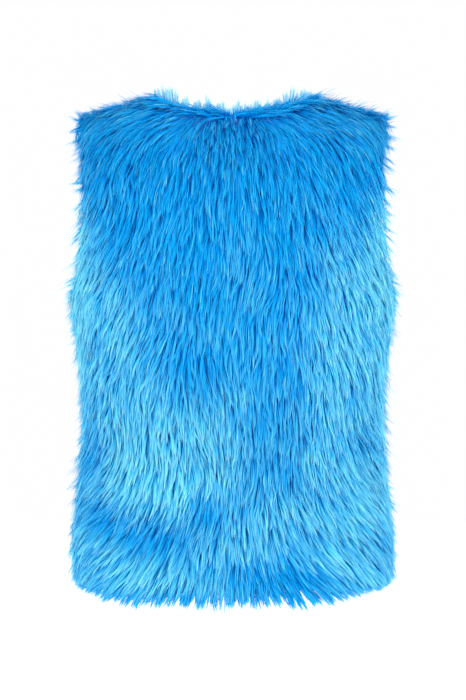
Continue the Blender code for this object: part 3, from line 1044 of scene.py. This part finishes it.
def panel_fur(panel):
    """All the locks of one panel: ribbons' points, half widths and what they tell."""
    side, back = SIDES[panel.side], panel.side == "back"
    parts = []

    def add(name, r, c, share={}, more={}, **given):
        """Locks of one kind. What isn't given is drawn from its range, times share, plus more."""
        kind, n = KINDS[name], len(r)
        if kind.up:
            r = r + math.copysign(1.0, kind.up) * rng.uniform(0.0, abs(kind.up), n)

        def draw(key):
            if key in given:
                return given[key]
            return rng.uniform(*getattr(kind, key), n) * share.get(key, 1.0) + more.get(key, 0.0)

        length, lift, past, radius = (draw(key) for key in ("length", "lift", "past", "radius"))
        lean = draw("lean")
        lean = None if lean is None else np.radians(lean)
        turn = np.radians(rng.normal(0.0, kind.turn_deg, n))
        curl = np.radians(rng.normal(0.0, kind.curl_deg, n))
        paths = trimmed_paths(panel, r, c, turn, curl, length, past, lean)
        tone = np.clip(paleness(panel, paths[0][:, 0]) + kind.pale, 0.0, 1.0)
        strands = kind.strands or side.strands
        parts.append(
            strands_of(
                paths, PILE * lift, strands, LOCK_RADIUS * radius, tone, STRAND.width,
                PILE * kind.base, kind.bow,
            )
        )

    def places(kind, which, end="first"):
        return edge_places(panel, which, KINDS[kind].space, end)

    def near(mean, spread, least, most):
        return np.clip(rng.normal(mean, spread, n), least, most)

    all_over = ALL_OVER
    r, c = scatter(panel, side.space, side.tries)
    n = len(r)
    length = LOCK_LENGTH * near(*all_over.length)
    lift = near(*all_over.lift)
    at = panel.place(r, c)[0]
    rim = part_way(np.abs(at[:, 0]), all_over.rim_x, all_over.rim_span)
    lift = lift * (1.0 + all_over.rim_higher * rim * rng.random(n) ** 2)
    radius = rng.uniform(*all_over.radius, n)
    low_corner = hem_corner(at) * (at[:, 2] < all_over.corner_z)
    past = rng.uniform(*all_over.past, n) * (1.0 - all_over.corner_less * low_corner)
    by_neck = (np.abs(at[:, 0]) < NECK_HALF_WIDTH) & (at[:, 2] > all_over.neck_z)
    past = np.where(by_neck, rng.uniform(*all_over.neck_past, n), past)
    if back:
        lift = lift * (1.0 - all_over.dip_lower * by_neck * neck_dip(at))
    add("all_over", r, c, length=length, lift=lift, past=past, radius=radius, lean=None)

    hem = HEM_TUFTS
    r, c, path = places("hem", "hem")
    n, way = len(r), panel.way(c)
    sideways, which = tufts(path, *hem.widths)
    sideways = hem.fan * sideways + rng.uniform(-hem.jitter, hem.jitter, n)
    tall = rng.uniform(*hem.heights, which.max() + 1)[which]
    at = panel.place(r, c)[0]
    corner = hem_corner(at)
    tall = tall * (1.0 - hem.corner_less * corner)
    lean = lean_at(panel, at, way) + np.arctan2(sideways * way, tall + hem.inside)
    add(
        "hem", r, c, share={"length": tall, "past": tall},
        more={"length": hem.inside * (1.0 - corner)}, lean=np.degrees(lean),
    )

    ends = ("first", "last") if back else ("last",)
    for end in ends:
        add("arm", *places("arm", "arm", end)[:2])
        r, c, path = places("arm_spikes", "arm", end)
        n, kind, z = len(r), KINDS["arm_spikes"], panel.place(r, c)[0][:, 2]
        lean = np.interp(z, *np.array(ARM_SPIKE_LEANS).T) + rng.uniform(*kind.lean, n)
        past = np.interp(z, *np.array(ARM_SPIKE_PASTS).T) * rng.uniform(*kind.past, n)
        add("arm_spikes", r, c, past=past, lean=lean)

    if back:
        neck = BACK_NECK
        r, c, path = places("back_neck", "neck")
        out = np.abs(panel.place(r, c)[0][:, 0]) / NECK_HALF_WIDTH
        r = below_top(panel, r, c, rng.uniform(*neck.below, len(r)))
        middle = np.clip(1.0 - out, 0.0, 1.0) ** neck.middle_power
        dip = neck_dip(panel.place(r, c)[0])
        add(
            "back_neck", r, c,
            share={
                "lift": 1.0 - neck.dip_lower * dip,
                "lean": neck.uneven_deg + neck.middle_uneven_deg * middle,
            },
            more={
                "past": neck.middle_past * middle,
                "lean": neck.lean_deg - neck.less_out * out,
            },
        )
    else:
        neck = FRONT_NECK
        r, c, path = places("front_neck", "neck")
        n = len(r)
        down = rng.uniform(*neck.below, n) * (rng.random(n) < neck.below_share)
        r = below_top(panel, r, c, down)
        add("front_neck", r, c, more={"lean": neck.turn_below * down})

    r, c, path = places("shoulder", "shoulder")
    down = rng.random(len(r)) ** SHOULDER.down_power
    add(
        "shoulder", r - SHOULDER.rows * down, c,
        share={"lift": 1.0 - SHOULDER.lower * down}, more={"lean": -SHOULDER.turn_deg * down},
    )
    add("shoulder_spikes", *places("shoulder_spikes", "shoulder")[:2])

    for end in ends:
        r, c, path = places("underarm", "underarm", end)
        lift = rng.uniform(*KINDS["underarm"].lift, len(r)) * side.underarm_lift
        add("underarm", r, c, lift=lift)
        add("side_spikes", *places("side_spikes", "side", end)[:2])
    if not back:
        add("front_edge", *places("front_edge", "front")[:2])
    return [np.concatenate(group) for group in zip(*parts)]


def neck_fur(panel):
    """Thin pale tufts that stand up inside the back neckline."""
    own = NECK_FUR
    r, c, path = edge_places(panel, "neck", own.space)
    n = len(r)
    tips, half_widths, heights = np.array(NECK_TUFTS).T
    x = panel.place(r, c)[0][:, 0]
    away = (tips[None, :] - x[:, None]) / half_widths[None, :]
    which = np.abs(away).argmin(axis=1)
    away = away[np.arange(n), which]
    sideways = own.fan * away * half_widths[which] + rng.uniform(-own.jitter, own.jitter, n)
    fall = own.fall * np.clip(np.abs(away), 0.0, own.fall_most) ** own.fall_power
    is_fuzz = rng.random(n) < own.fuzz_share
    fuzz = rng.uniform(*own.fuzz, n)
    tall = np.where(is_fuzz, fuzz, heights[which] * (1.0 - fall) * rng.uniform(*own.uneven, n))
    ahead = own.ahead * tall
    lean = math.pi - np.arctan2(sideways * panel.way(c), ahead)
    turn = np.radians(rng.normal(0.0, own.turn_deg, n))
    curl = np.radians(rng.normal(0.0, own.curl_deg, n))
    length = np.hypot(sideways, ahead)
    paths = trimmed_paths(panel, r, c, turn, curl, length, ahead, lean)
    radius = LOCK_RADIUS * rng.uniform(*own.radius, n)
    width = STRAND.width * own.wider
    return strands_of(
        paths, own.lift * tall, own.strands, radius, np.ones(n), width, base=0.0, bow=own.bow
    )


def set_inputs(node, inputs):
    for name, value in inputs.items():
        node.inputs[name].default_value = value


def new_node(tree, kind, place, inputs={}, **values):
    node = tree.nodes.new(kind)
    node.location = place
    for key, value in values.items():
        setattr(node, key, value)
    set_inputs(node, inputs)
    return node


def colour_ramp(tree, place, stops):
    node = new_node(tree, "ShaderNodeValToRGB", place)
    elements = node.color_ramp.elements
    for element, (at, colour) in zip(elements, (stops[0], stops[-1])):
        element.position, element.color = at, colour
    for at, colour in stops[1:-1]:
        elements.new(at).color = colour
    return node


def join(tree, *links):
    """Link sockets, each given as node, output, node, input."""
    for start, output, end, socket in links:
        tree.links.new(start.outputs[output], end.inputs[socket])


def new_material(name):
    material = bpy.data.materials.new(name)
    material.use_nodes = True
    return material, material.node_tree, material.node_tree.nodes["Principled BSDF"]


def fur_material(name, deep_stops, light_stops):
    """Pile: colour along the strand, from deep to pale by the strand, its lock and the painted
    sheen.
    """
    material, tree, shader = new_material(name)
    told = new_node(tree, "ShaderNodeAttribute", (-1100, 0), attribute_name="fur")
    split = new_node(tree, "ShaderNodeSeparateColor", (-900, 0))
    deep = colour_ramp(tree, (-600, 250), deep_stops)
    light = colour_ramp(tree, (-600, -50), light_stops)
    math_node, sums = "ShaderNodeMath", "MULTIPLY_ADD"
    own = new_node(tree, math_node, (-900, -300), {1: TONE.strand, 2: TONE.shift}, operation=sums)
    lock = new_node(tree, math_node, (-750, -300), {1: TONE.lock}, operation=sums)
    nap = new_node(tree, math_node, (-600, -300), {1: TONE.nap}, operation=sums, use_clamp=True)
    pale = new_node(tree, math_node, (-450, -300), {1: TONE.power}, operation="POWER")
    mix = new_node(tree, "ShaderNodeMix", (-300, 100), data_type="RGBA")
    join(
        tree,
        (told, "Color", split, "Color"),
        (split, "Red", deep, "Fac"),
        (split, "Red", light, "Fac"),
        (split, "Green", own, 0),
        (told, "Alpha", lock, 0),
        (own, 0, lock, 2),
        (split, "Blue", nap, 0),
        (lock, 0, nap, 2),
        (nap, 0, pale, 0),
        (pale, 0, mix, "Factor"),
        (deep, "Color", mix, "A"),
        (light, "Color", mix, "B"),
        (mix, "Result", shader, "Base Color"),
    )
    shader.inputs["Roughness"].default_value = 0.48
    shader.inputs["Specular IOR Level"].default_value = 0.12
    shader.inputs["Specular Tint"].default_value = (0.15, 0.70, 1.0, 1.0)
    return material


def backing_material():
    """Knitted backing: fine blue loops in close ribs, mottled where the pile's roots show."""
    material, tree, shader = new_material("knit_backing")
    where = new_node(tree, "ShaderNodeTexCoord", (-1300, 0))
    ribs = new_node(
        tree, "ShaderNodeTexWave", (-1000, 150),
        {"Scale": 95.0, "Distortion": 1.2, "Detail Scale": 5.0},
        wave_type="BANDS", bands_direction="X",
    )
    rows = new_node(
        tree, "ShaderNodeTexWave", (-1000, -150),
        {"Scale": 120.0, "Distortion": 1.6, "Detail Scale": 4.0},
        wave_type="BANDS", bands_direction="Z",
    )
    grain = new_node(
        tree, "ShaderNodeTexNoise", (-1000, -450),
        {"Scale": 16.0, "Detail": 8.0, "Roughness": 0.72},
    )
    loops = new_node(tree, "ShaderNodeMath", (-750, 0), operation="MULTIPLY")
    tint = new_node(
        tree, "ShaderNodeMix", (-450, 150), {"A": KNIT_DEEP, "B": KNIT_PALE}, data_type="RGBA"
    )
    mottle = colour_ramp(tree, (-750, -450), KNIT_MOTTLE)
    shade = new_node(
        tree, "ShaderNodeMix", (-250, 150), {"Factor": 1.0},
        data_type="RGBA", blend_type="MULTIPLY",
    )
    bump = new_node(
        tree, "ShaderNodeBump", (-250, -200), {"Strength": 0.8, "Distance": 0.0008}
    )
    join(
        tree,
        (where, "Object", ribs, "Vector"),
        (where, "Object", rows, "Vector"),
        (where, "Object", grain, "Vector"),
        (ribs, "Fac", loops, 0),
        (rows, "Fac", loops, 1),
        (loops, 0, tint, "Factor"),
        (grain, "Fac", mottle, "Fac"),
        (tint, "Result", shade, "A"),
        (mottle, "Color", shade, "B"),
        (shade, "Result", shader, "Base Color"),
        (loops, 0, bump, "Height"),
        (bump, "Normal", shader, "Normal"),
    )
    set_inputs(shader, {"Roughness": 0.85, "Sheen Weight": 0.08})
    return material


def dress(name, side, hand, parts, knit, fur, neck_pile=None):
    """A panel's backing and its fur, in as many pieces as parts names, from -X to +X."""
    panel = Panel(side, hand)
    shell = shell_mesh(name + "_backing", panel)
    shell.data.materials.append(knit)
    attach(shell, "root")
    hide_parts(name)

    def add_fur(name, ribbons, material):
        piece = ribbon_mesh(name, *ribbons)
        piece.data.materials.append(material)
        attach(piece, "root")

    ribbons = panel_fur(panel)
    x = ribbons[0][:, 0, 0]
    cuts = np.quantile(x, np.linspace(0, 1, len(parts) + 1))
    cuts[-1] = math.inf
    for part, low, high in zip(parts, cuts, cuts[1:]):
        mine = (x >= low) & (x < high)
        add_fur("fur_" + part, [values[mine] for values in ribbons], fur)
    if neck_pile:
        add_fur("fur_neck_" + name, neck_fur(panel), neck_pile)


def make_studio():
    world = bpy.data.worlds.new("studio")
    bpy.context.scene.world = world
    world.use_nodes = True
    tree = world.node_tree
    back = tree.nodes["Background"]
    set_inputs(back, {"Color": WHITE, "Strength": SKY_LIGHT})
    seen = new_node(
        tree, "ShaderNodeBackground", (0, -200), {"Color": WHITE, "Strength": SKY_SEEN}
    )
    path = new_node(tree, "ShaderNodeLightPath", (-300, 200))
    mix = new_node(tree, "ShaderNodeMixShader", (250, 0))
    join(
        tree,
        (path, "Is Camera Ray", mix, "Fac"),
        (back, "Background", mix, 1),
        (seen, "Background", mix, 2),
        (mix, "Shader", tree.nodes["World Output"], "Surface"),
    )

    for name, at, size, power in LIGHTS:
        light = bpy.data.lights.new(name, "AREA")
        light.shape = "RECTANGLE"
        light.size, light.size_y = size
        light.energy = power
        item = add_object(name, light)
        item.location = at
        item.rotation_euler = (Vector(LIGHT_AIM) - Vector(at)).to_track_quat("-Z", "Y").to_euler()

    mesh = bpy.data.meshes.new("floor")
    turns = [2 * math.pi * i / FLOOR_SIDES for i in range(FLOOR_SIDES)]
    ring = [(FLOOR_RADIUS * math.cos(a), FLOOR_RADIUS * math.sin(a), 0.0) for a in turns]
    mesh.from_pydata(ring, [], [tuple(range(FLOOR_SIDES))])
    floor = add_object("floor", mesh)
    floor.location = (0, 0, FLOOR_Z)
    white, tree, shader = new_material("floor_white")
    shader.inputs["Base Color"].default_value = (0.9, 0.9, 0.9, 1)
    shader.inputs["Roughness"].default_value = 0.9
    shader.inputs["Emission Color"].default_value = WHITE
    shader.inputs["Emission Strength"].default_value = 0.5
    mesh.materials.append(white)
    floor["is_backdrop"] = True


def make_camera():
    camera = bpy.data.cameras.new("camera")
    camera.sensor_width = SENSOR
    camera.lens = SENSOR * CAMERA_DISTANCE / FRAME_HEIGHT
    camera.clip_end = CLIP_END
    item = add_object("camera", camera)
    item.location = (CAMERA_X, CAMERA_DISTANCE, CAMERA_Z)
    item.rotation_euler = (math.radians(90), 0, math.radians(180))
    bpy.context.scene.camera = item


fur = fur_material("fur_pile", DEEP_BLUE, PALE_BLUE)
neck_pile = fur_material("fur_neck_pile", NECK_BLUE, NECK_BLUE)
knit = backing_material()
dress("back", "back", 1, ("back_right", "back_centre", "back_left"), knit, fur, neck_pile)
dress("front_left", "front", 1, ("front_left_inner", "front_left_outer"), knit, fur)
dress("front_right", "front", -1, ("front_right_outer", "front_right_inner"), knit, fur)
make_studio()
make_camera()
bpy.context.scene.view_settings.view_transform = "Standard"

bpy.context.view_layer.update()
total = 0
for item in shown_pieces():
    if item.type == "MESH" and item.visible_get():
        count = sum(len(p.vertices) - 2 for p in item.data.polygons)
        print("triangles", item.name, count)
        total += count
print("triangles in all", total)
